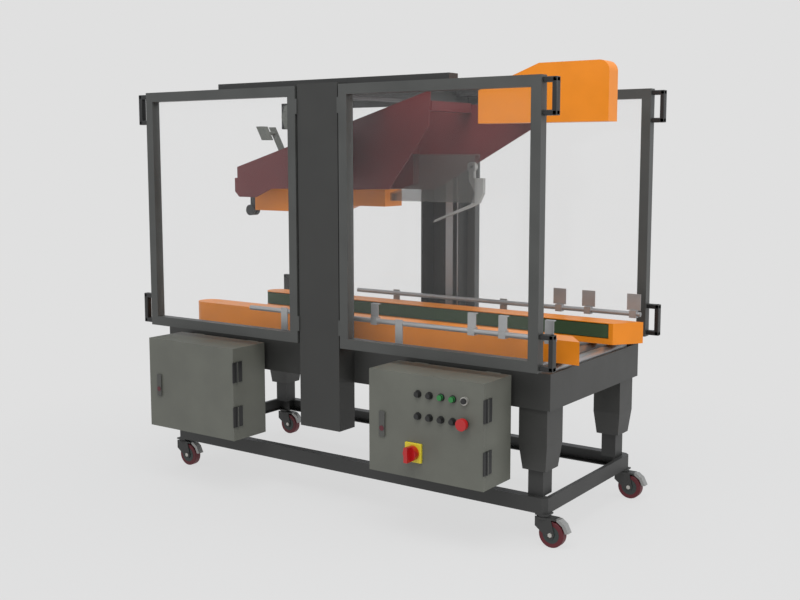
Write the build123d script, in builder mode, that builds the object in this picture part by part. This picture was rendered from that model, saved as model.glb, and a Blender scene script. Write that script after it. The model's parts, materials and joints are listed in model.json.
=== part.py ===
from build123d import *
from math import cos, radians, sin
import os

os.makedirs("parts", exist_ok=True)

# Sizes in millimetres, floor at zero, carton travel along minus X, operator on the minus Y side
FRONT = -1
REAR = 1

# Clearances
seat_gap = 0.3
run_gap = 5.0
sheet = 3.0

# Length and width of the roller bed, which the frame, columns and guards follow
bed_half_l = 973.0
bed_half_w = 392.0

# Base rails
rail_h = 58.0
rail_flange = 40.0
rail_t = 4.0
side_rail_y = bed_half_w - 14.0
end_rail_x = bed_half_l - 13.0
end_rail_flange = 16.0
corner_l = 60.0
corner_cut = 18.0

# Casters
wheel_d = 100.0
wheel_w = 32.0
wheel_pin_d = 12.0
tread_round = 4.0
caster_trail = 36.0
caster_x = end_rail_x - 20.0
caster_y = side_rail_y - 26.0
fork_t = 4.0
fork_crown_d = 56.0
fork_crown_t = 6.0
fork_shoulder = 36.0
fork_foot = 16.0
crown_clear = 5.0
race_d = 48.0
race_t = 6.0
caster_plate_w = 50.0
caster_plate_t = 6.0
pedal_w = 26.0
pedal_gap = 8.0
pedal_t = 13.0
pedal_low_angle = 12.0
pedal_mid_angle = 40.0
pedal_high_angle = 70.0

# Legs
leg_x = bed_half_l - 70.0
leg_y = bed_half_w - 74.0
inner_leg_l = 62.0
inner_leg_w = 70.0
leg_wall = 4.0
outer_leg_l = 116.0
outer_leg_w = 124.0
outer_leg_foot_l = 95.0
outer_leg_foot_w = 100.0
outer_leg_taper = 94.0
leg_show = 98.0
leg_overlap = 210.0

# Roller bed
bed_bottom = 514.0
bed_depth = 136.0
bed_plate_t = 5.0
bed_flange = 25.0
roller_d = 50.0
roller_half_l = bed_half_w - 37.0
roller_pin_d = 12.0
roller_rise = 12.0
roller_end_gap = 53.0
roller_count = 24
leg_bar_w = 60.0
leg_bar_h = 50.0
shaft_x = 560.0
shaft_d = 30.0
shaft_rise = 67.0

# Columns, guide bars and the bridge and bars on top
column_left = -110.0
column_right = 93.0
column_depth = 98.0
column_drop = 184.0
guard_top = 1700.0
guide_bar_w = 40.0
guide_bar_t = 30.0
screw_x = 70.0
screw_y = bed_half_w + 38.0
screw_d = 20.0
bridge_h = 38.0
bridge_cap_t = 8.0
top_bar_h = 20.0
top_bar_drop = 18.0
top_bar_w = 60.0
top_bar_left = 610.0
top_bar_right = 560.0
top_bar_y = bed_half_w + 28.0

# Guard doors
guard_half_l = bed_half_l + 7.0
guard_y = bed_half_w + 63.0
guard_t = 40.0
guard_bar = 40.0
guard_lift = 20.0
guard_gap = 8.0
pane_t = 5.0
pane_set = 16.0
hinge_h = 60.0
hinge_inset = 50.0
handle_l = 130.0
handle_reach = 55.0
handle_w = 24.0
handle_t = 18.0
handle_inset = 8.0

# Cabinets
cabinet_w = 501.0
cabinet_h = 388.0
cabinet_depth = 192.0
cabinet_offset = 28.0
cabinet_drop = 34.0
cabinet_wall = 4.0
door_t = 20.0
left_cabinet_x = -bed_half_l + 103.0
right_cabinet_x = bed_half_l - 640.0
spacer_h = 80.0
spacer_w = 60.0
leaf_h = 84.0
leaf_w = 34.0
leaf_t = 4.0
leaf_pin_d = 8.0
leaf_inset = 58.0

# Controls on the right cabinet door
button_pitch = 50.0
button_d = 22.0
button_t = 14.0
button_in = 78.0
button_drop = 70.0
button_row = 82.0
stop_d = 44.0
stop_t = 16.0
stop_stem_d = 22.0
stop_collar_d = 32.0
stop_collar_t = 8.0
stop_travel = 5.0
switch_w = 70.0
switch_t = 10.0
switch_in = 295.0
switch_drop = 290.0
knob_d = 56.0
knob_t = 24.0
knob_bar_w = 16.0

# Side belt units
belt_gap_z = 10.0
cover_h = 86.0
cover_inner_y = 180.0
cover_w = 110.0
cover_left = bed_half_l - 103.0
cover_end_l = bed_half_l - 15.0
cover_flare = 82.0
belt_h = 54.0
belt_t = 4.0
belt_centre = 52.0
belt_drop = 6.0
belt_right = bed_half_l - 58.0
belt_lead = 24.0
core_trim = 4.0
core_post_d = 30.0
saddle_w = 16.0
saddle_l = 36.0
saddle_y = 232.0
saddle_t = 10.0

# Side guide rods
rod_d = 20.0
rod_y = bed_half_w - 12.0
rod_rise = 124.0
rod_left = 480.0
rod_right = bed_half_l + 17.0
front_post_x = (-280.0, 313.0)
rear_post_x = (-255.0, 334.0)
front_tab_x = (189.0, 641.0, 774.0, rod_right - 25.0)
rear_square_x = (619.0, 755.0, rod_right - 30.0)
post_w = 35.0
post_t = 4.0
post_over = 16.0
clamp_h = 30.0
clamp_w = 30.0
tab_t = 3.0
tab_h = 54.0
tab_w = 36.0
square_w = 60.0
square_h = 68.0

# Lifting head
head_drop = 421.0
head_half_w = 158.0
head_plate_t = 8.0
tail_x = -776.0
tail_step = 16.0
tail_top = 96.0
tail_step_z = 46.0
tail_low = 40.0
tail_round = 25.0
tail_foot_x = -650.0
tail_ramp_x = -557.0
nose_x = 301.0
nose_top = 407.0
nose_cut_x = 294.0
nose_cut_z = 265.0
nose_low_x = 208.0
nose_low_z = 153.0
nose_base_x = 96.0
nose_base_z = 10.0
arm_base_x = 122.0
arm_flat_z = 361.0
arm_end_x = 650.0
arm_end_top = 286.0
arm_kink_x = 591.0
arm_kink_z = 254.0
beam_w = 40.0
beam_h = 40.0
top_beam_x = 285.0
top_beam_z = 326.0
tail_beam_x = -670.0
middle_beam_x = -120.0
shoe_beam_x = 20.0

# Lift carriages
carriage_left = 200.0
carriage_right = 70.0
carriage_z = 51.0
carriage_h = 190.0
carriage_plate_t = 16.0
carriage_gap = 6.0
carriage_neck_w = 90.0
carriage_neck_h = 130.0
carriage_neck_l = 44.0
carriage_arm_w = 90.0
shoe_l = 50.0
shoe_h = 130.0
nut_h = 40.0
nut_l = 30.0

# Tape unit
tape_half_w = 62.0
tape_left = 741.0
tape_right = 7.0
tape_low = 104.0
tape_right_low = 69.0
tape_ramp_start = 300.0
tape_ramp_end = 200.0
tape_top = 3.0
tape_shoulder = 120.0
tape_left_top = 45.0
press_roller_d = 50.0
press_roller_w = 44.0
press_roller_x = 813.0
press_roller_z = 108.0
press_pin_d = 16.0
press_arm_t = 6.0
press_arm_w = 26.0
press_arm_top = 42.0
reel_beam_x = -580.0
reel_beam_z = 81.0
reel_base_l = 90.0
reel_base_w = 120.0
reel_base_t = 8.0
reel_arm_t = 8.0
reel_arm_w = 36.0
reel_x = -568.0
reel_z = 323.0
reel_d = 130.0
reel_sides = 8
reel_w = 40.0
knob_arm_y = 30.0
knob_arm_top_x = -661.0
knob_arm_top_z = 277.0
knob_block_l = 62.0
knob_block_w = 40.0
knob_block_y = 34.0
knob_block_gap = 48.0
knob_block_drop = 29.0

# Flap shoe and kicker
shoe_half_w = 24.0
shoe_plate_t = 6.0
shoe_left = 8.0
shoe_mid = 127.0
shoe_right = 427.0
shoe_bottom = 45.0
shoe_step = 30.0
shoe_top = 154.0
shoe_tail_z = 12.0
kicker_x = 405.0
kicker_z = 101.0
kicker_hub_d = 40.0
kicker_pin_d = 14.0
kicker_t = 20.0
kicker_neck = 11.0
kicker_step_z = 45.0
kicker_blade_in = 18.0
kicker_blade_out = 56.0
kicker_blade_z = 105.0
kicker_heel_x = 36.0
kicker_heel_z = 146.0
kicker_finger_t = 12.0
kicker_finger_z = 163.0
kicker_tip_x = 188.0
kicker_tip_z = 232.0

# Infeed cover
hood_left = 524.0
hood_right = 1072.0
hood_front_y = 155.0
hood_depth = 75.0
hood_bottom = 271.0
hood_left_h = 130.0
hood_bend_x = 690.0
hood_bend_h = 184.0
hood_top_x = 787.0
hood_top_h = 220.0
hood_round = 40.0
hood_arm_x = 580.0
hood_arm_w = 80.0
hood_arm_z = 311.0
hood_arm_h = 60.0

# Levels derived from the sizes above
wheel_z = wheel_d / 2
crown_top = wheel_d + crown_clear + fork_crown_t
race_z = crown_top + seat_gap
plate_z = race_z + race_t
base_z = plate_z + caster_plate_t
rail_top = base_z + rail_h
leg_foot_z = rail_top + leg_show
bed_top = bed_bottom + bed_depth
roller_top = bed_top + roller_rise
roller_z = roller_top - roller_d / 2
roller_pitch = 2 * (bed_half_l - roller_end_gap) / (roller_count - 1)
column_z = bed_bottom - column_drop
column_back = bed_half_w + column_depth
bridge_top = guard_top + bridge_cap_t
guard_z = bed_top + guard_lift
cover_z = roller_top + belt_gap_z
cover_top = cover_z + cover_h
cover_outer_y = cover_inner_y + cover_w
belt_top = cover_top - belt_drop
belt_z = belt_top - belt_h
belt_y = cover_inner_y + belt_centre
shaft_z = bed_bottom + shaft_rise
rod_z = bed_top + rod_rise
head_z = guard_top - head_drop
cabinet_back = bed_half_w + cabinet_offset
cabinet_front = cabinet_back + cabinet_depth
cabinet_face = cabinet_front - door_t
cabinet_top = guard_z - cabinet_drop
cabinet_z = cabinet_top - cabinet_h
tape_bottom = head_z - tape_low

# The origin is moved to the middle of the overall length and width
knob_front_y = cabinet_front + switch_t + seat_gap + 2 * knob_t
origin_x = (hood_right - guard_half_l - handle_reach) / 2
origin_y = (guard_y + guard_t - knob_front_y) / 2


def save(piece, name):
    """Move a finished piece to the shared origin, label it and write its file."""
    placed = piece.part.moved(Location((-origin_x, -origin_y, 0)))
    placed.label = name
    export_step(placed, f"parts/{name}.step")


def bar(x_span, y_span, z_span, mode=Mode.ADD):
    """A block between two limits on each axis."""
    centre = [(low + high) / 2 for low, high in (x_span, y_span, z_span)]
    size = [abs(high - low) for low, high in (x_span, y_span, z_span)]
    with Locations(tuple(centre)):
        Box(*size, mode=mode)


def side_plate(points, y_span, mode=Mode.ADD):
    """A flat plate with an outline seen from the side, between two Y limits."""
    y_low, y_high = sorted(y_span)
    with BuildSketch(Plane.XZ.offset(-y_high)) as outline:
        with BuildLine():
            Polyline(*points, close=True)
        make_face()
    extrude(to_extrude=outline.sketch, amount=y_high - y_low, mode=mode)


def pin_y(centre, diameter, y_span, mode=Mode.ADD):
    """A round pin along Y at an X and Z position."""
    x, z = centre
    with Locations(Location((x, (y_span[0] + y_span[1]) / 2, z), (90, 0, 0))):
        Cylinder(diameter / 2, abs(y_span[1] - y_span[0]), mode=mode)


def pin_x(centre, diameter, x_span, mode=Mode.ADD):
    """A round bar along X at a Y and Z position."""
    y, z = centre
    with Locations(Location(((x_span[0] + x_span[1]) / 2, y, z), (0, 90, 0))):
        Cylinder(diameter / 2, abs(x_span[1] - x_span[0]), mode=mode)


def pin_z(centre, diameter, z_span, mode=Mode.ADD):
    """A round post along Z at an X and Y position."""
    x, y = centre
    with Locations((x, y, (z_span[0] + z_span[1]) / 2)):
        Cylinder(diameter / 2, abs(z_span[1] - z_span[0]), mode=mode)


# Base rails, joined by a corner block at each end
corner_x = end_rail_x - corner_l
inner_y = side_rail_y - rail_flange
with BuildPart() as base_side_rails:
    for side in (FRONT, REAR):
        bar((-corner_x, corner_x), (side * inner_y, side * side_rail_y), (base_z, rail_top))
        bar(
            (-corner_x, corner_x),
            (side * inner_y, side * (side_rail_y - rail_t)),
            (base_z + rail_t, rail_top - rail_t),
            Mode.SUBTRACT,
        )
save(base_side_rails, "base_side_rails")

with BuildPart() as base_end_rails:
    for end in (-1, 1):
        flange_x = end * (end_rail_x - end_rail_flange)
        web_x = end * (end_rail_x - rail_t)
        bar((flange_x, end * end_rail_x), (-inner_y, inner_y), (base_z, rail_top))
        bar((flange_x, web_x), (-inner_y, inner_y), (base_z + rail_t, rail_top - rail_t), Mode.SUBTRACT)
save(base_end_rails, "base_end_rails")

with BuildPart() as base_corners:
    for end in (-1, 1):
        for side in (FRONT, REAR):
            with BuildSketch(Plane.XY.offset(base_z)) as corner_plan:
                with BuildLine():
                    Polyline(
                        (end * corner_x, side * inner_y),
                        (end * end_rail_x, side * inner_y),
                        (end * end_rail_x, side * (side_rail_y - corner_cut)),
                        (end * (end_rail_x - corner_cut), side * side_rail_y),
                        (end * corner_x, side * side_rail_y),
                        close=True,
                    )
                make_face()
            extrude(amount=rail_h)
save(base_corners, "base_corners")

# Legs
leg_spots = [(end * leg_x, side * leg_y) for end in (-1, 1) for side in (FRONT, REAR)]
with BuildPart() as inner_legs:
    inner_leg_h = leg_show + leg_overlap
    with Locations(*[(x, y, rail_top) for x, y in leg_spots]):
        Box(inner_leg_l, inner_leg_w, inner_leg_h, align=(Align.CENTER, Align.CENTER, Align.MIN))
    with Locations(*[(x, y, rail_top) for x, y in leg_spots]):
        Box(
            inner_leg_l - 2 * leg_wall,
            inner_leg_w - 2 * leg_wall,
            inner_leg_h,
            align=(Align.CENTER, Align.CENTER, Align.MIN),
            mode=Mode.SUBTRACT,
        )
save(inner_legs, "inner_legs")

with BuildPart() as outer_legs:
    taper_top = leg_foot_z + outer_leg_taper
    for x, y in leg_spots:
        with BuildSketch(Plane.XY.offset(leg_foot_z)):
            with Locations((x, y)):
                Rectangle(outer_leg_foot_l, outer_leg_foot_w)
        with BuildSketch(Plane.XY.offset(taper_top)):
            with Locations((x, y)):
                Rectangle(outer_leg_l, outer_leg_w)
        loft()
        with BuildSketch(Plane.XY.offset(taper_top)):
            with Locations((x, y)):
                Rectangle(outer_leg_l, outer_leg_w)
        extrude(amount=bed_bottom - taper_top)
    with Locations(*[(x, y, leg_foot_z) for x, y in leg_spots]):
        Box(
            inner_leg_l + 2 * seat_gap,
            inner_leg_w + 2 * seat_gap,
            leg_overlap + seat_gap,
            align=(Align.CENTER, Align.CENTER, Align.MIN),
            mode=Mode.SUBTRACT,
        )
save(outer_legs, "outer_legs")

# Casters
caster_spots = {
    f"{end_name}_{side_name}": (end * caster_x, side * caster_y)
    for end, end_name in ((-1, "left"), (1, "right"))
    for side, side_name in ((FRONT, "front"), (REAR, "rear"))
}
with BuildPart() as caster_plates:
    for x, y in caster_spots.values():
        half = caster_plate_w / 2
        bar((x - half, x + half), (y - half, y + half), (plate_z, base_z))
        pin_z((x, y), race_d, (race_z, plate_z))
save(caster_plates, "caster_plates")


def wheel_point(radius, degrees):
    """A point of the side view, by its distance and angle from the wheel centre."""
    return (axle_x + radius * cos(radians(degrees)), wheel_z + radius * sin(radians(degrees)))


for caster_name, (x, y) in caster_spots.items():
    axle_x = x + caster_trail
    arm_out = wheel_w / 2 + seat_gap + fork_t
    with BuildPart() as caster_fork:
        pin_z((x, y), fork_crown_d, (crown_top - fork_crown_t, crown_top))
        for side in (FRONT, REAR):
            arm_span = (y + side * (arm_out - fork_t), y + side * arm_out)
            arm_outline = [
                (x - fork_crown_d / 2, crown_top),
                (axle_x, crown_top),
                (axle_x + fork_foot, wheel_z),
                (axle_x + fork_foot / 2, wheel_z - fork_foot),
                (axle_x - fork_foot / 2, wheel_z - fork_foot),
                (x - fork_crown_d / 2, crown_top - fork_shoulder),
            ]
            side_plate(arm_outline, arm_span)
        pedal_in = wheel_d / 2 + pedal_gap
        pedal_out = pedal_in + pedal_t
        pedal_heel = wheel_point(pedal_in, pedal_high_angle)
        bar(
            (x, pedal_heel[0]),
            (y - arm_out, y + arm_out),
            (crown_top - fork_crown_t, crown_top),
        )
        pin_y((axle_x, wheel_z), wheel_pin_d, (y - arm_out, y + arm_out))
        pedal_outline = [
            (x, crown_top),
            (pedal_heel[0] + pedal_t, crown_top),
            wheel_point(pedal_out, pedal_mid_angle),
            wheel_point(pedal_out, pedal_low_angle),
            wheel_point(pedal_in, pedal_low_angle),
            wheel_point(pedal_in, pedal_mid_angle),
            (pedal_heel[0], crown_top - fork_crown_t),
            (x, crown_top - fork_crown_t),
        ]
        side_plate(pedal_outline, (y - pedal_w / 2, y + pedal_w / 2))
    save(caster_fork, f"{caster_name}_caster_fork")

    with BuildPart() as caster_wheel:
        pin_y((axle_x, wheel_z), wheel_d, (y - wheel_w / 2, y + wheel_w / 2))
        tread = caster_wheel.edges().filter_by(GeomType.CIRCLE)
        fillet(tread, tread_round)
        pin_y(
            (axle_x, wheel_z),
            wheel_pin_d + 2 * seat_gap,
            (y - wheel_w, y + wheel_w),
            Mode.SUBTRACT,
        )
    save(caster_wheel, f"{caster_name}_caster_wheel")

# Roller bed
with BuildPart() as bed_side_plates:
    for side in (FRONT, REAR):
        skin_y = side * bed_half_w
        inner_skin_y = side * (bed_half_w - bed_plate_t)
        flange_y = side * (bed_half_w - bed_plate_t - bed_flange)
        bar((-bed_half_l, bed_half_l), (inner_skin_y, skin_y), (bed_bottom, bed_top))
        bar((-bed_half_l, bed_half_l), (flange_y, inner_skin_y), (bed_top - bed_plate_t, bed_top))
save(bed_side_plates, "bed_side_plates")

with BuildPart() as bed_end_plates:
    for end in (-1, 1):
        bar(
            (end * bed_half_l, end * (bed_half_l + bed_plate_t)),
            (-bed_half_w, bed_half_w),
            (bed_bottom, bed_top),
        )
save(bed_end_plates, "bed_end_plates")

pin_half_l = bed_half_w - bed_plate_t
roller_spots = [(index - (roller_count - 1) / 2) * roller_pitch for index in range(roller_count)]
with BuildPart() as bed_rollers:
    for x in roller_spots:
        pin_y((x, roller_z), roller_d, (-roller_half_l, roller_half_l))
        pin_y((x, roller_z), roller_pin_d, (-pin_half_l, pin_half_l))
save(bed_rollers, "bed_rollers")

with BuildPart() as bed_cross_bars:
    for end in (-1, 1):
        centre_x = end * leg_x
        bar(
            (centre_x - leg_bar_w / 2, centre_x + leg_bar_w / 2),
            (-pin_half_l, pin_half_l),
            (bed_bottom, bed_bottom + leg_bar_h),
        )
        pin_y((end * shaft_x, shaft_z), shaft_d, (-pin_half_l, pin_half_l))
save(bed_cross_bars, "bed_cross_bars")

# Columns with guide bars and lift screws
for side, name in ((FRONT, "front"), (REAR, "rear")):
    with BuildPart() as column:
        y_span = (side * bed_half_w, side * column_back)
        bar((column_left, column_right), y_span, (column_z, guard_top))
        bar(
            (column_left + sheet, column_right - sheet),
            (side * bed_half_w, side * (column_back - sheet)),
            (column_z + sheet, guard_top),
            Mode.SUBTRACT,
        )
    save(column, f"{name}_column")

with BuildPart() as column_guide_bars:
    for side in (FRONT, REAR):
        bar_back = column_back - sheet
        bar(
            (-guide_bar_w / 2, guide_bar_w / 2),
            (side * (bar_back - guide_bar_t), side * bar_back),
            (column_z + sheet, guard_top),
        )
save(column_guide_bars, "column_guide_bars")

with BuildPart() as lift_screws:
    for side in (FRONT, REAR):
        pin_z((screw_x, side * screw_y), screw_d, (column_z + sheet, guard_top))
save(lift_screws, "lift_screws")

with BuildPart() as top_bridge:
    bar((column_left, column_right), (-bed_half_w, bed_half_w), (guard_top - bridge_h, guard_top))
    bar((column_left, column_right), (-column_back, column_back), (guard_top, bridge_top))
save(top_bridge, "top_bridge")

with BuildPart() as top_bars:
    for side in (FRONT, REAR):
        bar_span = (side * (top_bar_y - top_bar_w), side * top_bar_y)
        bar(
            (-top_bar_left, top_bar_right),
            bar_span,
            (bridge_top - top_bar_drop, bridge_top + top_bar_h),
        )
        bar(
            (column_left - seat_gap, column_right + seat_gap),
            bar_span,
            (bridge_top - top_bar_drop, bridge_top),
            Mode.SUBTRACT,
        )
save(top_bars, "top_bars")

# Guard doors
for side, side_name in ((FRONT, "front"), (REAR, "rear")):
    for end, end_name, column_edge in ((-1, "left", column_left), (1, "right", column_right)):
        outer_y = guard_y + guard_t
        y_span = (side * guard_y, side * outer_y)
        door_x = column_edge + end * guard_gap
        pane_x = (door_x + end * guard_bar, end * (guard_half_l - guard_bar))
        pane_z_span = (guard_z + guard_bar, guard_top - guard_bar)
        with BuildPart() as guard_frame:
            bar((door_x, end * guard_half_l), y_span, (guard_z, guard_top))
            bar(pane_x, y_span, pane_z_span, Mode.SUBTRACT)
            for hinge_z in (guard_z + hinge_inset, guard_top - hinge_inset - hinge_h):
                bar(
                    (column_edge + end * seat_gap, door_x),
                    y_span,
                    (hinge_z, hinge_z + hinge_h),
                )
            grip_y = guard_y + guard_t / 2
            grip_span = (side * (grip_y - handle_w / 2), side * (grip_y + handle_w / 2))
            for grip_z in (guard_z + handle_inset, guard_top - handle_inset - handle_l):
                bar(
                    (end * guard_half_l, end * (guard_half_l + handle_reach)),
                    grip_span,
                    (grip_z, grip_z + handle_l),
                )
                bar(
                    (end * guard_half_l, end * (guard_half_l + handle_reach - handle_t)),
                    grip_span,
                    (grip_z + handle_t, grip_z + handle_l - handle_t),
                    Mode.SUBTRACT,
                )
        save(guard_frame, f"{side_name}_{end_name}_guard_frame")

        with BuildPart() as guard_pane:
            pane_y = guard_y + pane_set
            bar(pane_x, (side * pane_y, side * (pane_y + pane_t)), pane_z_span)
        save(guard_pane, f"{side_name}_{end_name}_guard_pane")

# Cabinets
for cabinet_x, name in ((left_cabinet_x, "left"), (right_cabinet_x, "right")):
    cabinet_right = cabinet_x + cabinet_w
    leaf_levels = (cabinet_z + leaf_inset, cabinet_top - leaf_inset - leaf_h)
    pin_x_pos = cabinet_right + leaf_t + seat_gap
    with BuildPart() as cabinet:
        bar((cabinet_x, cabinet_right), (-cabinet_face, -cabinet_back), (cabinet_z, cabinet_top))
        bar(
            (cabinet_x + cabinet_wall, cabinet_right - cabinet_wall),
            (-cabinet_face, -cabinet_back - cabinet_wall),
            (cabinet_z + cabinet_wall, cabinet_top - cabinet_wall),
            Mode.SUBTRACT,
        )
        for spacer_x in (cabinet_x + spacer_w, cabinet_right - 2 * spacer_w):
            bar(
                (spacer_x, spacer_x + spacer_w),
                (-cabinet_back, -bed_half_w),
                (cabinet_top - spacer_h - cabinet_wall, cabinet_top - cabinet_wall),
            )
        for leaf_z in leaf_levels:
            bar(
                (cabinet_right, cabinet_right + leaf_t),
                (-cabinet_face, -cabinet_face + leaf_w),
                (leaf_z, leaf_z + leaf_h),
            )
            pin_z((pin_x_pos, -cabinet_face), leaf_pin_d, (leaf_z, leaf_z + leaf_h))
    save(cabinet, f"{name}_cabinet")

    with BuildPart() as cabinet_door:
        bar(
            (cabinet_x, cabinet_right),
            (-cabinet_front, -cabinet_face - seat_gap),
            (cabinet_z, cabinet_top),
        )
        for leaf_z in leaf_levels:
            bar(
                (cabinet_right, cabinet_right + leaf_t),
                (-cabinet_front, -cabinet_face - seat_gap),
                (leaf_z, leaf_z + leaf_h),
            )
            pin_z(
                (pin_x_pos, -cabinet_face),
                leaf_pin_d + 2 * seat_gap,
                (leaf_z, leaf_z + leaf_h),
                Mode.SUBTRACT,
            )
        if name == "right":
            switch_x = cabinet_right - switch_in
            switch_z = cabinet_top - switch_drop
            bar(
                (switch_x - switch_w / 2, switch_x + switch_w / 2),
                (-cabinet_front - switch_t, -cabinet_front),
                (switch_z - switch_w / 2, switch_z + switch_w / 2),
            )
    save(cabinet_door, f"{name}_cabinet_door")

# Controls on the right cabinet door
controls_right = right_cabinet_x + cabinet_w - button_in
button_z = cabinet_top - button_drop
stop_spot = (controls_right, button_z - button_row)
with BuildPart() as control_buttons:
    button_face = -cabinet_front - button_t
    for column_index in range(5):
        button_x = controls_right - column_index * button_pitch
        pin_y((button_x, button_z), button_d, (button_face, -cabinet_front))
        if column_index:
            pin_y((button_x, button_z - button_row), button_d, (button_face, -cabinet_front))
    pin_y(stop_spot, stop_collar_d, (-cabinet_front - stop_collar_t, -cabinet_front))
    pin_y(
        stop_spot,
        stop_stem_d + 2 * seat_gap,
        (-cabinet_front - stop_collar_t, -cabinet_front),
        Mode.SUBTRACT,
    )
save(control_buttons, "control_buttons")

with BuildPart() as emergency_stop:
    stem_end = -cabinet_front - stop_travel - seat_gap
    head_back = -cabinet_front - stop_collar_t - stop_travel - seat_gap
    pin_y(stop_spot, stop_stem_d, (head_back, stem_end))
    pin_y(stop_spot, stop_d, (head_back - stop_t, head_back))
save(emergency_stop, "emergency_stop")

with BuildPart() as main_switch_knob:
    knob_back = -cabinet_front - switch_t - seat_gap
    pin_y((switch_x, switch_z), knob_d, (knob_back - knob_t, knob_back))
    grip_h = knob_d / 2
    bar(
        (switch_x - knob_bar_w / 2, switch_x + knob_bar_w / 2),
        (knob_back - 2 * knob_t, knob_back - knob_t),
        (switch_z - grip_h, switch_z + grip_h),
    )
save(main_switch_knob, "main_switch_knob")

# Side belt units
end_round = (cover_outer_y - cover_inner_y) / 2
round_y = cover_inner_y + end_round


def cover_plan(inset, side):
    """The plan outline of a belt cover, drawn a given distance inside its edge."""
    inner = side * (cover_inner_y + inset)
    outer = side * (cover_outer_y - inset)
    middle = side * round_y
    start_x = -cover_left
    with BuildLine() as plan:
        edge = Polyline(
            (start_x, outer),
            (cover_end_l + cover_flare - inset, outer),
            (cover_end_l - inset, inner),
            (start_x, inner),
        )
        ThreePointArc(edge @ 1, (start_x - end_round + inset, middle), edge @ 0)
    make_face(plan.line.edges())


for side, name in ((FRONT, "front"), (REAR, "rear")):
    with BuildPart() as belt_cover:
        with BuildSketch(Plane.XY.offset(cover_z)) as shell_plan:
            cover_plan(0, side)
        extrude(amount=cover_h)
        with BuildSketch(Plane.XY.offset(cover_z + sheet)) as hollow_plan:
            cover_plan(sheet, side)
        extrude(amount=cover_h - 2 * sheet, mode=Mode.SUBTRACT)
        window_low = belt_z - sheet
        window_x = (-cover_left - end_round - sheet, belt_right + belt_lead)
        bar(
            window_x,
            (side * (cover_inner_y - sheet), side * (cover_inner_y + sheet)),
            (window_low, cover_top - sheet),
            Mode.SUBTRACT,
        )
        bar(
            (-cover_left - end_round - sheet, -cover_left),
            (side * (cover_inner_y - sheet), side * round_y),
            (window_low, cover_top - sheet),
            Mode.SUBTRACT,
        )
    save(belt_cover, f"{name}_belt_cover")

    belt_mid = side * belt_y
    belt_centres = (-cover_left, belt_right)
    belt_length = belt_right + cover_left
    with BuildPart() as belt:
        with BuildSketch(Plane.XY.offset(belt_z)):
            with Locations(((belt_right - cover_left) / 2, belt_mid)):
                SlotCenterToCenter(belt_length, 2 * belt_centre)
                SlotCenterToCenter(belt_length, 2 * (belt_centre - belt_t), mode=Mode.SUBTRACT)
        extrude(amount=belt_h)
    save(belt, f"{name}_belt")

    with BuildPart() as belt_core:
        with BuildSketch(Plane.XY.offset(belt_z + core_trim)):
            with Locations(((belt_right - cover_left) / 2, belt_mid)):
                SlotCenterToCenter(belt_length, 2 * (belt_centre - belt_t))
        extrude(amount=belt_h - 2 * core_trim)
        for end in (-1, 1):
            pin_z((end * shaft_x, belt_mid), core_post_d, (cover_z + sheet, belt_z + core_trim))
            saddle_low = shaft_z - shaft_d / 2
            saddle_roof = shaft_z + shaft_d / 2 + seat_gap
            cheek = shaft_d / 2 + seat_gap
            saddle_span = (side * saddle_y - saddle_l / 2, side * saddle_y + saddle_l / 2)
            bar(
                (end * shaft_x - saddle_w / 2, end * shaft_x + saddle_w / 2),
                saddle_span,
                (saddle_roof, cover_z),
            )
            bar(
                (end * shaft_x - cheek - saddle_t, end * shaft_x + cheek + saddle_t),
                saddle_span,
                (saddle_low, saddle_roof + run_gap),
            )
            bar(
                (end * shaft_x - cheek, end * shaft_x + cheek),
                saddle_span,
                (saddle_low, saddle_roof),
                Mode.SUBTRACT,
            )
    save(belt_core, f"{name}_belt_core")

# Side guide rods with their posts and clamps
def clamp_on_rod(x, side):
    """A clamp block around the rod."""
    half = clamp_w / 2
    bar(
        (x - half, x + half),
        (side * (rod_y - clamp_h / 2), side * (rod_y + rod_d / 2)),
        (rod_z - clamp_h / 2, rod_z + clamp_h / 2),
    )


def rod_post(x, side):
    """A flat post from the bed flange up to the rod."""
    bar(
        (x - post_w / 2, x + post_w / 2),
        (side * (bed_half_w - post_t), side * bed_half_w),
        (bed_top, rod_z + post_over),
    )


for side, name, posts in ((FRONT, "front", front_post_x), (REAR, "rear", rear_post_x)):
    with BuildPart() as side_rod:
        pin_x((side * rod_y, rod_z), rod_d, (-rod_left, rod_right))
        for x in posts:
            rod_post(x, side)
        if side == FRONT:
            for x in front_tab_x:
                clamp_on_rod(x, side)
                tab_z = rod_z + clamp_h / 2
                bar(
                    (x - tab_w / 2, x + tab_w / 2),
                    (side * rod_y, side * (rod_y + tab_t)),
                    (tab_z, tab_z + tab_h),
                )
                bar(
                    (x - tab_w / 2, x + tab_w / 2),
                    (side * (rod_y - clamp_h / 2), side * rod_y),
                    (tab_z + tab_h - tab_t, tab_z + tab_h),
                )
        else:
            for x in rear_square_x:
                clamp_on_rod(x, side)
                bar(
                    (x - square_w / 2, x + square_w / 2),
                    (side * (rod_y - tab_t), side * rod_y),
                    (rod_z + post_over, rod_z + post_over + square_h),
                )
                bar(
                    (x - clamp_w / 2, x + clamp_w / 2),
                    (side * (rod_y - tab_t), side * rod_y),
                    (rod_z, rod_z + post_over),
                )
    save(side_rod, f"{name}_side_rod")

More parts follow.
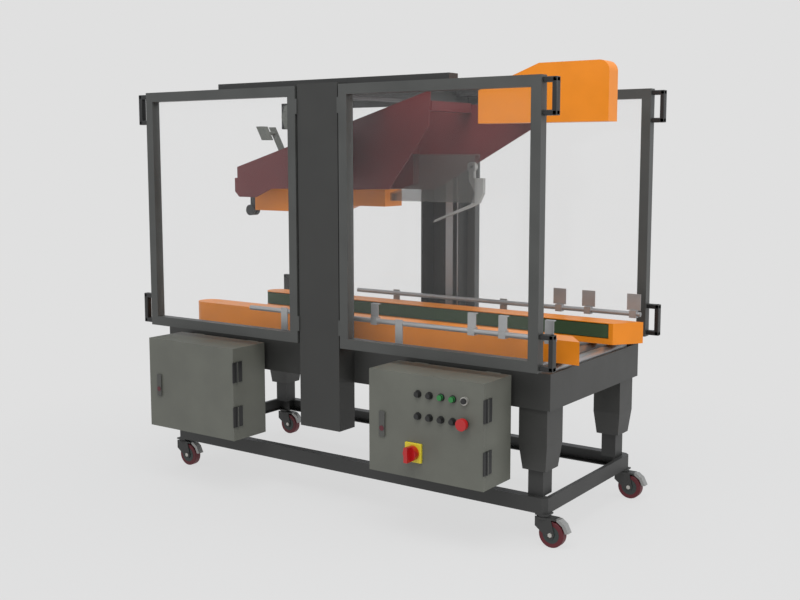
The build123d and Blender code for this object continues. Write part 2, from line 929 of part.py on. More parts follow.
# Head plates
tail_points = [
    (tail_ramp_x, head_z),
    (tail_foot_x, head_z - tail_low),
    (tail_x + tail_round, head_z - tail_low),
    (tail_x, head_z - tail_low + tail_round),
    (tail_x, head_z + tail_step_z),
    (tail_x + tail_step, head_z + tail_step_z),
    (tail_x + tail_step, head_z + tail_top),
]
slope = (nose_top - tail_top) / (nose_x - tail_x - tail_step)
with BuildPart() as front_head_plate:
    outline = [
        (nose_x, head_z + nose_top),
        (nose_cut_x, head_z + nose_cut_z),
        (nose_low_x, head_z + nose_low_z),
        (nose_base_x, head_z + nose_base_z),
    ]
    side_plate(tail_points + outline, (-head_half_w, -head_half_w + head_plate_t))
save(front_head_plate, "front_head_plate")

with BuildPart() as rear_head_plate:
    flat_x = tail_x + tail_step + (arm_flat_z - tail_top) / slope
    outline = [
        (flat_x, head_z + arm_flat_z),
        (arm_end_x, head_z + arm_flat_z),
        (arm_end_x, head_z + arm_end_top),
        (arm_kink_x, head_z + arm_kink_z),
        (arm_base_x, head_z),
    ]
    side_plate(tail_points + outline, (head_half_w - head_plate_t, head_half_w))
save(rear_head_plate, "rear_head_plate")

# Cross beams of the head
beam_span = (-head_half_w + head_plate_t, head_half_w - head_plate_t)
tape_roof = head_z + tape_top
shoe_roof = head_z + shoe_top
reel_beam_level = head_z + reel_beam_z
with BuildPart() as head_cross_beams:
    for beam_x, beam_z in (
        (top_beam_x, head_z + top_beam_z),
        (tail_beam_x, tape_roof),
        (middle_beam_x, tape_roof),
        (shoe_beam_x, shoe_roof),
        (reel_beam_x, reel_beam_level),
    ):
        bar((beam_x - beam_w / 2, beam_x + beam_w / 2), beam_span, (beam_z, beam_z + beam_h))
    bar(
        (hood_arm_x - hood_arm_w / 2, hood_arm_x + hood_arm_w / 2),
        (-hood_front_y + sheet, head_half_w - head_plate_t),
        (head_z + hood_arm_z, head_z + hood_arm_z + hood_arm_h),
    )
save(head_cross_beams, "head_cross_beams")

# Lift carriages
carriage_y = bed_half_w - carriage_gap
neck_y = carriage_y + carriage_neck_l
carriage_low = head_z + carriage_z
carriage_mid = carriage_low + carriage_h / 2
for side, name in ((FRONT, "front"), (REAR, "rear")):
    with BuildPart() as carriage:
        bar(
            (-carriage_left, carriage_right),
            (side * (carriage_y - carriage_plate_t), side * carriage_y),
            (carriage_low, carriage_low + carriage_h),
        )
        bar(
            (-carriage_neck_w / 2, carriage_neck_w / 2),
            (side * carriage_y, side * neck_y),
            (carriage_mid - carriage_neck_h / 2, carriage_mid + carriage_neck_h / 2),
        )
        bar(
            (-carriage_left, -carriage_left + carriage_arm_w),
            (side * head_half_w, side * carriage_y),
            (carriage_low, carriage_low + carriage_h),
        )
    save(carriage, f"{name}_carriage")

with BuildPart() as carriage_shoes:
    for side in (FRONT, REAR):
        for flank in (-1, 1):
            bar(
                (flank * (guide_bar_w / 2 + seat_gap), flank * carriage_neck_w / 2),
                (side * neck_y, side * (neck_y + shoe_l)),
                (carriage_mid - shoe_h / 2, carriage_mid + shoe_h / 2),
            )
        bar(
            (carriage_neck_w / 2, screw_x - screw_d / 2 - seat_gap),
            (side * (neck_y - nut_l), side * neck_y),
            (carriage_mid - nut_h / 2, carriage_mid + nut_h / 2),
        )
save(carriage_shoes, "carriage_shoes")

# Tape unit
with BuildPart() as tape_cover:
    outline = [
        (-tape_left, tape_bottom),
        (-tape_ramp_start, tape_bottom),
        (-tape_ramp_end, head_z - tape_right_low),
        (tape_right, head_z - tape_right_low),
        (tape_right, tape_roof),
        (-tape_left + tape_shoulder, tape_roof),
        (-tape_left, head_z - tape_left_top),
    ]
    side_plate(outline, (-tape_half_w, tape_half_w))
save(tape_cover, "tape_cover")

with BuildPart() as press_roller:
    roller_x = -press_roller_x
    press_z = head_z - press_roller_z
    half_arm = press_arm_t / 2
    for side in (FRONT, REAR):
        pin_y(
            (roller_x, press_z),
            press_roller_d,
            (side * (half_arm + seat_gap), side * press_roller_w / 2),
        )
    pin_y((roller_x, press_z), press_pin_d, (-press_roller_w / 2, press_roller_w / 2))
    arm_outline = [
        (roller_x - press_arm_w / 2, press_z),
        (roller_x + press_arm_w / 2, press_z),
        (roller_x + press_arm_w / 2, head_z - press_arm_top - press_arm_w),
        (-tape_left, head_z - press_arm_top - press_arm_w),
        (-tape_left, head_z - press_arm_top - press_arm_t),
        (roller_x - press_arm_w / 2, head_z - press_arm_top - press_arm_t),
    ]
    side_plate(arm_outline, (-half_arm, half_arm))
save(press_roller, "press_roller")

with BuildPart() as tape_reel_holder:
    base_low = reel_beam_level + beam_h
    base_top = base_low + reel_base_t
    bar(
        (reel_beam_x - reel_base_l / 2, reel_beam_x + reel_base_l / 2),
        (-reel_base_w / 2, reel_base_w / 2),
        (base_low, base_top),
    )
    reel_spot = (reel_x, head_z + reel_z)
    reel_face = reel_base_w / 2 - reel_arm_t
    reel_arm = [
        (reel_beam_x - reel_arm_w / 2, base_top),
        (reel_beam_x + reel_arm_w / 2, base_top),
        (reel_x + reel_arm_w / 2, reel_spot[1]),
        (reel_x - reel_arm_w / 2, reel_spot[1]),
    ]
    side_plate(reel_arm, (reel_face, reel_base_w / 2))
    with BuildSketch(Plane.XZ.offset(-reel_face)) as reel_outline:
        with Locations(reel_spot):
            RegularPolygon(reel_d / 2, reel_sides, major_radius=False)
    extrude(to_extrude=reel_outline.sketch, amount=reel_w)
    knob_arm_span = (-knob_arm_y, -knob_arm_y + reel_arm_t)
    knob_top = (knob_arm_top_x, head_z + knob_arm_top_z)
    lean = (reel_beam_x - knob_top[0]) / (knob_top[1] - base_top)
    knob_arm = [
        (reel_beam_x - reel_arm_w / 2, base_top),
        (reel_beam_x + reel_arm_w / 2, base_top),
        (knob_top[0] + reel_arm_w / 2, knob_top[1]),
        (knob_top[0] - reel_arm_w / 2, knob_top[1]),
    ]
    side_plate(knob_arm, knob_arm_span)
    block_z = knob_top[1] - knob_block_drop
    block_x = knob_top[0] + lean * knob_block_drop
    block_front = -knob_arm_y - knob_block_gap - knob_block_y
    pin_y((block_x, block_z), press_pin_d, (block_front, -knob_arm_y))
    half_w = knob_block_w / 2
    half_l = knob_block_l / 2
    knob_block = [
        (block_x + lean * half_l - half_w, block_z - half_l),
        (block_x + lean * half_l + half_w, block_z - half_l),
        (block_x - lean * half_l + half_w, block_z + half_l),
        (block_x - lean * half_l - half_w, block_z + half_l),
    ]
    side_plate(knob_block, (block_front, block_front + knob_block_y))
save(tape_reel_holder, "tape_reel_holder")

# Flap shoe and kicker
kicker_spot = (kicker_x, head_z + kicker_z)
with BuildPart() as flap_shoe:
    outline = [
        (shoe_left, head_z - shoe_bottom),
        (shoe_right, head_z - shoe_bottom),
        (shoe_right, shoe_roof),
        (shoe_mid, shoe_roof),
        (shoe_mid, head_z + shoe_step),
        (shoe_left, head_z - shoe_tail_z),
    ]
    for side in (FRONT, REAR):
        side_plate(outline, (side * (shoe_half_w - shoe_plate_t), side * shoe_half_w))
    bar(
        (shoe_beam_x - beam_w / 2, shoe_right),
        (-shoe_half_w, shoe_half_w),
        (shoe_roof - shoe_plate_t, shoe_roof),
    )
    bar(
        (shoe_left, shoe_left + shoe_plate_t),
        (-shoe_half_w, shoe_half_w),
        (head_z - shoe_bottom, head_z - shoe_tail_z - sheet),
    )
    pin_y(kicker_spot, kicker_pin_d, (-shoe_half_w, shoe_half_w))
save(flap_shoe, "flap_shoe")

with BuildPart() as kicker_arm:
    hub_x, hub_z = kicker_spot
    pin_y(kicker_spot, kicker_hub_d, (-kicker_t / 2, kicker_t / 2))
    arm_outline = [
        (hub_x - kicker_neck, hub_z),
        (hub_x + kicker_neck, hub_z),
        (hub_x + kicker_neck, hub_z - kicker_step_z),
        (hub_x + kicker_blade_out, hub_z - kicker_step_z),
        (hub_x + kicker_blade_out, hub_z - kicker_blade_z),
        (hub_x + kicker_heel_x, hub_z - kicker_heel_z),
        (hub_x, hub_z - kicker_finger_z),
        (hub_x - kicker_tip_x, hub_z - kicker_tip_z),
        (hub_x - kicker_tip_x + kicker_finger_t, hub_z - kicker_tip_z + kicker_finger_t),
        (hub_x, hub_z - kicker_finger_z + kicker_finger_t),
        (hub_x + kicker_blade_in, hub_z - kicker_blade_z),
        (hub_x - kicker_neck, hub_z - kicker_step_z - kicker_neck),
    ]
    side_plate(arm_outline, (-kicker_t / 2, kicker_t / 2))
    pin_y(kicker_spot, kicker_pin_d + 2 * seat_gap, (-kicker_t, kicker_t), Mode.SUBTRACT)
save(kicker_arm, "kicker_arm")

# Infeed cover
with BuildPart() as infeed_cover:
    hood_z = head_z + hood_bottom
    hood_back_y = -hood_front_y + hood_depth
    outline = [
        (hood_left, hood_z),
        (hood_right, hood_z),
        (hood_right, hood_z + hood_top_h),
        (hood_top_x, hood_z + hood_top_h),
        (hood_bend_x, hood_z + hood_bend_h),
        (hood_left, hood_z + hood_left_h - sheet),
    ]
    side_plate(outline, (-hood_front_y, hood_back_y))
    corner = infeed_cover.edges().filter_by(Axis.Y).sort_by(Axis.X)[-2:].sort_by(Axis.Z)[-1]
    fillet(corner, hood_round)
    rear_face = infeed_cover.faces().filter_by(Axis.Y).sort_by(Axis.Y)[-1]
    offset(amount=-sheet, openings=rear_face)
save(infeed_cover, "infeed_cover")
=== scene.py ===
import json
import math

import bmesh
import bpy
from mathutils import Matrix, Vector


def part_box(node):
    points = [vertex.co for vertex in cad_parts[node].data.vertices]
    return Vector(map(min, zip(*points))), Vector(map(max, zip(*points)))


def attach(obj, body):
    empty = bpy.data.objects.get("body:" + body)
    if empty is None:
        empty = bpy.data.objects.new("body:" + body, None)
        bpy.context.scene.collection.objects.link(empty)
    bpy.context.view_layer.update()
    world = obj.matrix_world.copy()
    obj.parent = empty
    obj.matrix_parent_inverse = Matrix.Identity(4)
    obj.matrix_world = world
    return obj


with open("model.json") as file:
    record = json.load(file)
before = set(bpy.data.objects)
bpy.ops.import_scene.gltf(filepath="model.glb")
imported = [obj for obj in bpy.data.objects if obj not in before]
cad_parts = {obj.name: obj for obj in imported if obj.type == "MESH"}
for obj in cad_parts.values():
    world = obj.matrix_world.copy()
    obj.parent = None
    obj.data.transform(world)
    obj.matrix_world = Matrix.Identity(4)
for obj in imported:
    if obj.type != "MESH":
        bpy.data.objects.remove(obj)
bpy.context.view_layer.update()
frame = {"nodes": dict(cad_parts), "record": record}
scene = bpy.context.scene

# Places are in millimetres from the middle of the roller bed, at floor level
MM = 0.001
FRONT = -1
REAR = 1
SIDES = ((FRONT, "front"), (REAR, "rear"))
ENDS = ((-1, "left"), (1, "right"))
bed_low, bed_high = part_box("bed_side_plates")
MIDDLE = Vector(((bed_low[0] + bed_high[0]) / 2, (bed_low[1] + bed_high[1]) / 2, 0))

# How far added pieces stand off or sink into what carries them
PROUD = 0.6
SUNK = 0.5


def point(place):
    """A place in millimetres as a point of the shared frame, in metres."""
    return MIDDLE + Vector(place) * MM


def span(name):
    """The lowest and highest corner of a CAD node, in millimetres from the middle of the bed."""
    return [(Vector(corner) - MIDDLE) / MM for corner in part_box(name)]


# Materials
def node(tree, kind, **settings):
    """A shader node with the given settings."""
    made = tree.nodes.new(kind)
    for key, value in settings.items():
        setattr(made, key, value)
    return made


def ranged(tree, source, low, high):
    """Spread the middle of a noise over a range of values."""
    spread = node(tree, "ShaderNodeMapRange")
    spread.inputs["From Min"].default_value = 0.3
    spread.inputs["From Max"].default_value = 0.7
    spread.inputs["To Min"].default_value = low
    spread.inputs["To Max"].default_value = high
    tree.links.new(source, spread.inputs["Value"])
    return spread.outputs["Result"]


def linear(color):
    """A display colour from 0 to 255 as the linear colour that shaders use."""
    parts = [part / 255 for part in color]
    return [part / 12.92 if part <= 0.04045 else ((part + 0.055) / 1.055) ** 2.4 for part in parts]


def finish_material(name, color, rough=0.5, metal=0.0, vary=0.1, grain=900.0, bump=0.05, coat=0.0, stretch=None):
    """A finish with mottled colour, uneven gloss and a fine surface grain."""
    mat = bpy.data.materials.new(name)
    mat.use_nodes = True
    tree = mat.node_tree
    link = tree.links.new
    bsdf = tree.nodes["Principled BSDF"]
    bsdf.inputs["Metallic"].default_value = metal
    bsdf.inputs["Coat Weight"].default_value = coat
    source = node(tree, "ShaderNodeTexCoord").outputs["Object"]
    if stretch:
        mapping = node(tree, "ShaderNodeMapping")
        mapping.inputs["Scale"].default_value = stretch
        link(source, mapping.inputs["Vector"])
        source = mapping.outputs["Vector"]
    broad = node(tree, "ShaderNodeTexNoise")
    broad.inputs["Scale"].default_value = 7.0
    broad.inputs["Detail"].default_value = 5.0
    link(source, broad.inputs["Vector"])
    tint = node(tree, "ShaderNodeVectorMath", operation="SCALE")
    tint.inputs[0].default_value = linear(color)
    link(ranged(tree, broad.outputs["Fac"], 1.0 - vary, 1.0 + vary), tint.inputs["Scale"])
    link(tint.outputs["Vector"], bsdf.inputs["Base Color"])
    link(ranged(tree, broad.outputs["Fac"], rough - 0.06, rough + 0.06), bsdf.inputs["Roughness"])
    fine = node(tree, "ShaderNodeTexNoise")
    fine.inputs["Scale"].default_value = grain
    fine.inputs["Detail"].default_value = 2.0
    link(source, fine.inputs["Vector"])
    relief = node(tree, "ShaderNodeBump")
    relief.inputs["Strength"].default_value = bump
    relief.inputs["Distance"].default_value = 0.0005
    link(fine.outputs["Fac"], relief.inputs["Height"])
    link(relief.outputs["Normal"], bsdf.inputs["Normal"])
    return mat


def sheer_material(name, color, cover, gloss, clear_tint=0.995):
    """A see-through sheet with a thin veil of its own colour and a faint reflection."""
    mat = bpy.data.materials.new(name)
    mat.use_nodes = True
    tree = mat.node_tree
    link = tree.links.new
    tree.nodes.remove(tree.nodes["Principled BSDF"])
    clear = node(tree, "ShaderNodeBsdfTransparent")
    clear.inputs["Color"].default_value = (clear_tint, clear_tint, clear_tint, 1)
    veil = node(tree, "ShaderNodeBsdfDiffuse")
    veil.inputs["Color"].default_value = (*linear(color), 1)
    smear = node(tree, "ShaderNodeTexNoise")
    smear.inputs["Scale"].default_value = 3.0
    smear.inputs["Detail"].default_value = 4.0
    link(node(tree, "ShaderNodeTexCoord").outputs["Object"], smear.inputs["Vector"])
    body = node(tree, "ShaderNodeMixShader")
    link(ranged(tree, smear.outputs["Fac"], cover * 0.85, cover * 1.15), body.inputs["Fac"])
    link(clear.outputs["BSDF"], body.inputs[1])
    link(veil.outputs["BSDF"], body.inputs[2])
    shine = node(tree, "ShaderNodeBsdfGlossy")
    shine.inputs["Roughness"].default_value = 0.05
    top = node(tree, "ShaderNodeMixShader")
    top.inputs["Fac"].default_value = gloss
    link(body.outputs["Shader"], top.inputs[1])
    link(shine.outputs["BSDF"], top.inputs[2])
    link(top.outputs["Shader"], tree.nodes["Material Output"].inputs["Surface"])
    return mat


# One material for each slot of the record
SLOTS = {
    "frame_black": finish_material("frame_black", (46, 46, 45)),
    "bed_grey": finish_material("bed_grey", (52, 52, 50)),
    "column_grey": finish_material("column_grey", (46, 46, 44)),
    "guard_grey": finish_material("guard_grey", (66, 67, 65), 0.45),
    "guard_clear": sheer_material("guard_clear", (225, 226, 226), 0.018, 0.012),
    "cabinet_grey": finish_material("cabinet_grey", (94, 95, 87), 0.55, grain=1800.0, bump=0.12),
    "roller_steel": finish_material("roller_steel", (170, 170, 170), 0.35, 0.85, stretch=(6, 0.6, 6)),
    "rod_steel": finish_material("rod_steel", (168, 168, 168), 0.4, 0.7),
    "safety_yellow": finish_material("safety_yellow", (222, 128, 0), 0.42, vary=0.06),
    "head_red": finish_material("head_red", (98, 30, 32), 0.45, vary=0.08),
    "beam_red": finish_material("beam_red", (98, 30, 32), 0.45, vary=0.08),
    "belt_green": finish_material("belt_green", (46, 68, 38), 0.75, grain=1400.0, bump=0.25),
    "drive_dark": finish_material("drive_dark", (62, 62, 62)),
    "shoe_clear": sheer_material("shoe_clear", (110, 109, 105), 0.26, 0.02),
    "arm_grey": finish_material("arm_grey", (158, 158, 155), 0.4, 0.3),
    "reel_grey": finish_material("reel_grey", (96, 98, 92)),
    "black_plastic": finish_material("black_plastic", (26, 26, 26), 0.4),
    "stop_red": finish_material("stop_red", (170, 12, 16), 0.3, coat=0.3),
    "wheel_red": finish_material("wheel_red", (84, 10, 22)),
}

# Finishes of small pieces, beside the slot materials
zinc = finish_material("zinc_screw", (188, 186, 180), 0.35, 0.8)
dark_screw = finish_material("dark_screw", (70, 62, 52), 0.4, 0.5)
switch_yellow = finish_material("switch_yellow", (205, 186, 40), 0.4)
button_green = finish_material("button_green", (20, 116, 48), 0.35, coat=0.3)
lock_grey = finish_material("lock_grey", (78, 78, 75), 0.4, 0.3)
lock_red = finish_material("lock_red", (84, 22, 34), 0.4)
gold_bracket = finish_material("gold_bracket", (172, 138, 80), 0.4, 0.4)
light_grey = finish_material("light_grey", (172, 171, 166), 0.45)
pale_pink = finish_material("strut_pink", (190, 160, 155), 0.45)
bright_red = finish_material("bright_red", (160, 44, 50), 0.45, vary=0.06)
seam_dark = finish_material("seam_dark", (18, 18, 18), 0.8)
hub_dark = finish_material("hub_dark", (38, 48, 46), 0.4)
pedal_steel = finish_material("pedal_steel", (150, 150, 148), 0.4, 0.6)

slot_of = {sub["node"]: sub["material_slot"] for sub in frame["record"]["subparts"]}
for name, obj in frame["nodes"].items():
    obj.data.materials.clear()
    obj.data.materials.append(SLOTS[slot_of[name]])


# Building pieces
def add_piece(name, bm, mat, body, bevel=0.0):
    """Turn a bmesh into a piece that rides on a body and wears the given material."""
    mesh = bpy.data.meshes.new(name)
    bm.to_mesh(mesh)
    bm.free()
    mesh.materials.append(mat)
    obj = bpy.data.objects.new(name, mesh)
    scene.collection.objects.link(obj)
    if bevel:
        edge = obj.modifiers.new("edge", "BEVEL")
        edge.width = bevel * MM
        edge.segments = 2
        edge.limit_method = "ANGLE"
    for face in mesh.polygons:
        face.use_smooth = True
    mesh.set_sharp_from_angle(angle=math.radians(35))
    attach(obj, body)
    return obj


def boxes(name, spans, mat, body, bevel=0.8):
    """Blocks between opposite corners, as one piece."""
    bm = bmesh.new()
    for corner, opposite in spans:
        a, b = point(corner), point(opposite)
        size = [abs(b[i] - a[i]) for i in range(3)]
        place = Matrix.Translation((a + b) / 2) @ Matrix.Diagonal((*size, 1))
        bmesh.ops.create_cube(bm, size=1.0, matrix=place)
    return add_piece(name, bm, mat, body, bevel)


def discs(name, bars, mat, body, sides=24):
    """Round bars or cones, each given by two end points and the radius at each end, as one piece."""
    bm = bmesh.new()
    for start, end, radius, end_radius in bars:
        a, b = point(start), point(end)
        axis = b - a
        turn = Vector((0, 0, 1)).rotation_difference(axis.normalized()).to_matrix().to_4x4()
        bmesh.ops.create_cone(
            bm,
            cap_ends=True,
            segments=sides,
            radius1=radius * MM,
            radius2=end_radius * MM,
            depth=axis.length,
            matrix=Matrix.Translation((a + b) / 2) @ turn,
        )
    return add_piece(name, bm, mat, body)


def plate(name, outline, y_span, mat, body, bevel=0.5):
    """A flat plate with an outline seen from the side, between two Y places."""
    bm = bmesh.new()
    near, far = y_span
    corners = [bm.verts.new(point((x, near, z))) for x, z in outline]
    face = bm.faces.new(corners)
    grown = bmesh.ops.extrude_face_region(bm, geom=[face])
    moved = [item for item in grown["geom"] if isinstance(item, bmesh.types.BMVert)]
    bmesh.ops.translate(bm, verts=moved, vec=(0, (far - near) * MM, 0))
    bmesh.ops.recalc_face_normals(bm, faces=bm.faces)
    return add_piece(name, bm, mat, body, bevel)


def screws(name, spots, direction, mat, body, slot, radius=6.0, height=3.0):
    """Round screw heads that stand on a surface in one direction."""
    out = Vector(direction)
    bars = [(Vector(s) - out * SUNK, Vector(s) + out * height, radius, radius * 0.8) for s in spots]
    return discs(name, bars, mat, body, sides=12)


# Cabinets: black hinges and a lock on each door
hinge_leaf_h = 84.0
hinge_inset = 58.0
hinge_leaf_w = 34.0
hinge_t = 4.0
hinge_pin_r = 4.6
lock_in = 62.0
lock_w = 26.0
lock_h = 96.0
lock_key_r = 10.0


def cabinet_hardware(side_name):
    """Hinges on the right edge of a cabinet and the lock on the left of its door."""
    body = f"{side_name}_cabinet_door"
    case_low, case_high = span(f"{side_name}_cabinet")
    door_low, door_high = span(body)
    door_face = case_low.y - SLOT_DOOR_T
    right = door_high.x - hinge_t
    leaf_levels = (case_low.z + hinge_inset, case_high.z - hinge_inset - hinge_leaf_h)
    leaves, plates, pins = [], [], []
    for z in leaf_levels:
        top = z + hinge_leaf_h + SUNK
        out = right + hinge_t + PROUD
        leaves.append(((right - SUNK, door_face - SUNK, z - SUNK), (out, door_high.y, top)))
        plates.append(((right - SUNK, case_low.y, z - SUNK), (out, case_low.y + hinge_leaf_w, top)))
        pin_x = right + hinge_t + CAD_GAP
        pins.append(((pin_x, case_low.y, z), (pin_x, case_low.y, top), hinge_pin_r, hinge_pin_r))
    black = SLOTS["black_plastic"]
    boxes(f"{side_name}_hinge_leaves", leaves, black, body)
    boxes(f"{side_name}_hinge_plates", plates, black, "frame")
    discs(f"{side_name}_hinge_pins", pins, black, "frame")
    lock_x = door_low.x + lock_in
    lock_z = (case_low.z + case_high.z) / 2 - 9
    lock = (
        (lock_x - lock_w / 2, door_face - 2.5, lock_z - lock_h / 2),
        (lock_x + lock_w / 2, door_face + SUNK, lock_z + lock_h / 2),
    )
    boxes(f"{side_name}_lock_plate", [lock], lock_grey, body, 1.2)
    key_z = lock_z - lock_h / 6
    key = ((lock_x, door_face - 4, key_z), (lock_x, door_face - 2, key_z), lock_key_r, lock_key_r)
    discs(f"{side_name}_lock_key", [key], lock_red, body)


SLOT_DOOR_T = 20.0
CAD_GAP = 0.3
for side_name in ("left", "right"):
    cabinet_hardware(side_name)

# Buttons, key switch ring and the yellow plate of the main switch
button_pitch = 50.0
button_row = 82.0
button_r = 11.0


def control_panel():
    """Bezels and caps over the plain CAD buttons."""
    low, high = span("control_buttons")
    door_face = high.y
    cap_face = low.y - 2
    first_x = span("emergency_stop")[0].x + (span("emergency_stop")[1].x - span("emergency_stop")[0].x) / 2
    bezels, black_caps, green_caps = [], [], []
    for column in range(5):
        for row in range(2):
            if column == 0 and row == 1:
                continue
            x = first_x - button_pitch * column
            z = high.z - button_r - button_row * row
            bezels.append(((x, door_face, z), (x, door_face - 5, z), button_r + 3.5, button_r + 2.5))
            cap = ((x, door_face - 5, z), (x, cap_face, z), button_r + PROUD, button_r - 1)
            lit = row == 0 and column in (1, 2)
            (green_caps if lit else black_caps).append(cap)
    panel = "right_cabinet_door"
    discs("button_bezels", bezels, SLOTS["black_plastic"], panel)
    discs("button_caps_black", black_caps, SLOTS["black_plastic"], panel)
    discs("button_caps_green", green_caps, button_green, panel)
    ring_z = high.z - button_r
    ring = ((first_x, door_face, ring_z), (first_x, door_face - 9, ring_z), button_r + 5, button_r + 4)
    discs("key_switch_ring", [ring], zinc, panel)
    knob_low, knob_high = span("main_switch_knob")
    knob_x = (knob_low.x + knob_high.x) / 2
    knob_z = (knob_low.z + knob_high.z) / 2
    half = 36
    square = ((knob_x - half, door_face - 10.6, knob_z - half), (knob_x + half, door_face + SUNK, knob_z + half))
    boxes("switch_yellow_plate", [square], switch_yellow, panel, 2.0)


control_panel()

# Black grips over the door handles
handle_l = 130.0
handle_t = 18.0
handle_inset = 8.0
guard_half_l = 980.0


def handle_grips(side, side_name, end, end_name):
    """Cover both handles of a guard door with black grips."""
    body = f"{side_name}_{end_name}_guard"
    low, high = span(f"{body}_frame")
    tip = high.x if end > 0 else -low.x
    grip_y = (low.y + high.y) / 2
    spans = []
    for z in (low.z + handle_inset, high.z - handle_inset - handle_l):
        near = (grip_y - 13, grip_y + 13)
        for x0, z0, z1 in (
            (guard_half_l - SUNK, z - PROUD, z + handle_t + PROUD),
            (guard_half_l - SUNK, z + handle_l - handle_t - PROUD, z + handle_l + PROUD),
            (tip - handle_t - PROUD, z - PROUD, z + handle_l + PROUD),
        ):
            spans.append(((end * x0, near[0], z0), (end * (tip + SUNK), near[1], z1)))
    boxes(f"{body}_handle_grips", spans, SLOTS["black_plastic"], body, 4.0)


for side, side_name in SIDES:
    for end, end_name in ENDS:
        handle_grips(side, side_name, end, end_name)

# Casters: hubs, axle nuts and silver brake pedals
hub_r = 33.0
nut_r = 9.0
nut_h = 5.0
pedal_angles = (70, 40, 12)
pedal_in = 8.0
pedal_t = 13.0
pedal_w = 28.0


def caster_details(name):
    """Hub discs on the wheel, nuts on the fork's axle and a bright pedal over the CAD one."""
    wheel_low, wheel_high = span(f"{name}_caster_wheel")
    fork_low, fork_high = span(f"{name}_caster_fork")
    x = (wheel_low.x + wheel_high.x) / 2
    y = (wheel_low.y + wheel_high.y) / 2
    z = (wheel_low.z + wheel_high.z) / 2
    half_w = (wheel_high.y - wheel_low.y) / 2
    hub = ((x, y - half_w - SUNK, z), (x, y + half_w + SUNK, z), hub_r, hub_r)
    wheel_body = f"{name}_caster_wheel"
    fork_body = f"{name}_caster_fork"
    discs(f"{wheel_body}_hub", [hub], hub_dark, wheel_body, sides=40)
    arm_y = half_w + 4
    nuts = [((x, y + s * arm_y, z), (x, y + s * (arm_y + nut_h), z), nut_r, nut_r) for s in (FRONT, REAR)]
    discs(f"{fork_body}_nuts", nuts, zinc, fork_body, sides=6)
    wheel_r = (wheel_high.z - wheel_low.z) / 2
    near = wheel_r + pedal_in - PROUD
    far = wheel_r + pedal_in + pedal_t + PROUD

    def around(radius, degrees):
        turn = math.radians(degrees)
        return (x + radius * math.cos(turn), z + radius * math.sin(turn))

    high_deg, mid_deg, low_deg = pedal_angles
    heel = around(near, high_deg)
    outline = [
        (heel[0] - PROUD, fork_high.z + PROUD),
        (heel[0] + pedal_t + PROUD, fork_high.z + PROUD),
        around(far, mid_deg),
        around(far, low_deg),
        around(near, low_deg),
        around(near, mid_deg),
        (heel[0] - PROUD, heel[1]),
    ]
    span_y = (y - pedal_w / 2, y + pedal_w / 2)
    plate(f"{name}_caster_pedal", outline, span_y, pedal_steel, fork_body)


for end, end_name in ENDS:
    for side, side_name in SIDES:
        caster_details(f"{end_name}_{side_name}")

# Camera
camera_data = bpy.data.cameras.new("camera")
camera_data.sensor_width = 36
camera_data.lens = 1083.594 / 800 * camera_data.sensor_width
camera_data.shift_x = -9.391 / 800
camera_data.shift_y = -16.761 / 800
camera = bpy.data.objects.new("camera", camera_data)
scene.collection.objects.link(camera)
camera.location = point((2738, -3802, 1425))
camera.rotation_euler = (math.radians(90 - 6.701), 0, math.radians(34.848))
scene.camera = camera

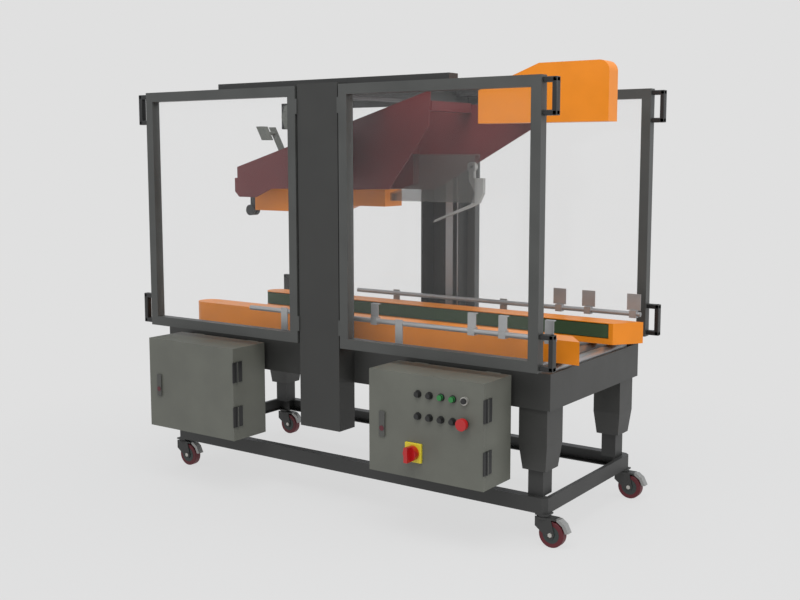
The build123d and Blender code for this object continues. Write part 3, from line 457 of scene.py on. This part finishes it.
# Floor and backdrop
BACKDROP = linear((224, 224, 224))
floor_bm = bmesh.new()
bmesh.ops.create_circle(floor_bm, cap_ends=True, segments=96, radius=14)
floor_mesh = bpy.data.meshes.new("floor")
floor_bm.to_mesh(floor_mesh)
floor_bm.free()
floor = bpy.data.objects.new("floor", floor_mesh)
scene.collection.objects.link(floor)
floor_mat = bpy.data.materials.new("floor_pale")
floor_mat.use_nodes = True
tree = floor_mat.node_tree
bsdf = tree.nodes["Principled BSDF"]
bsdf.inputs["Base Color"].default_value = (0.62, 0.62, 0.62, 1)
bsdf.inputs["Roughness"].default_value = 0.9
bsdf.inputs["Specular IOR Level"].default_value = 0.1
glow = node(tree, "ShaderNodeEmission")
glow.inputs["Color"].default_value = (*BACKDROP, 1)
length = node(tree, "ShaderNodeVectorMath", operation="LENGTH")
tree.links.new(node(tree, "ShaderNodeTexCoord").outputs["Object"], length.inputs[0])
fade = node(tree, "ShaderNodeMapRange")
fade.inputs["From Min"].default_value = 1.2
fade.inputs["From Max"].default_value = 2.6
fade.inputs["To Min"].default_value = 0.85
tree.links.new(length.outputs["Value"], fade.inputs["Value"])
blend = node(tree, "ShaderNodeMixShader")
tree.links.new(fade.outputs["Result"], blend.inputs["Fac"])
tree.links.new(bsdf.outputs["BSDF"], blend.inputs[1])
tree.links.new(glow.outputs["Emission"], blend.inputs[2])
tree.links.new(blend.outputs["Shader"], tree.nodes["Material Output"].inputs["Surface"])
floor_mesh.materials.append(floor_mat)

world = bpy.data.worlds.new("world")
scene.world = world
world.use_nodes = True
tree = world.node_tree
tree.nodes.clear()
out = node(tree, "ShaderNodeOutputWorld")
seen = node(tree, "ShaderNodeBackground")
seen.inputs["Color"].default_value = (*BACKDROP, 1)
lit = node(tree, "ShaderNodeBackground")
lit.inputs["Color"].default_value = (0.95, 0.97, 1.0, 1)
lit.inputs["Strength"].default_value = 0.75
pick = node(tree, "ShaderNodeMixShader")
tree.links.new(node(tree, "ShaderNodeLightPath").outputs["Is Camera Ray"], pick.inputs["Fac"])
tree.links.new(lit.outputs["Background"], pick.inputs[1])
tree.links.new(seen.outputs["Background"], pick.inputs[2])
tree.links.new(pick.outputs["Shader"], out.inputs["Surface"])


def area_light(name, place, aim, size, power):
    """A soft square lamp pointed at a place."""
    data = bpy.data.lights.new(name, "AREA")
    data.energy = power
    data.size = size
    lamp = bpy.data.objects.new(name, data)
    scene.collection.objects.link(lamp)
    lamp.location = place
    lamp.rotation_euler = (Vector(aim) - Vector(place)).to_track_quat("-Z", "Y").to_euler()


area_light("key_light", (1.5, -2.5, 5.0), (0, 0, 0.8), 4.0, 170)
area_light("side_light", (4.5, 1.0, 3.0), (0, 0, 0.8), 3.0, 60)

scene.view_settings.view_transform = "Standard"
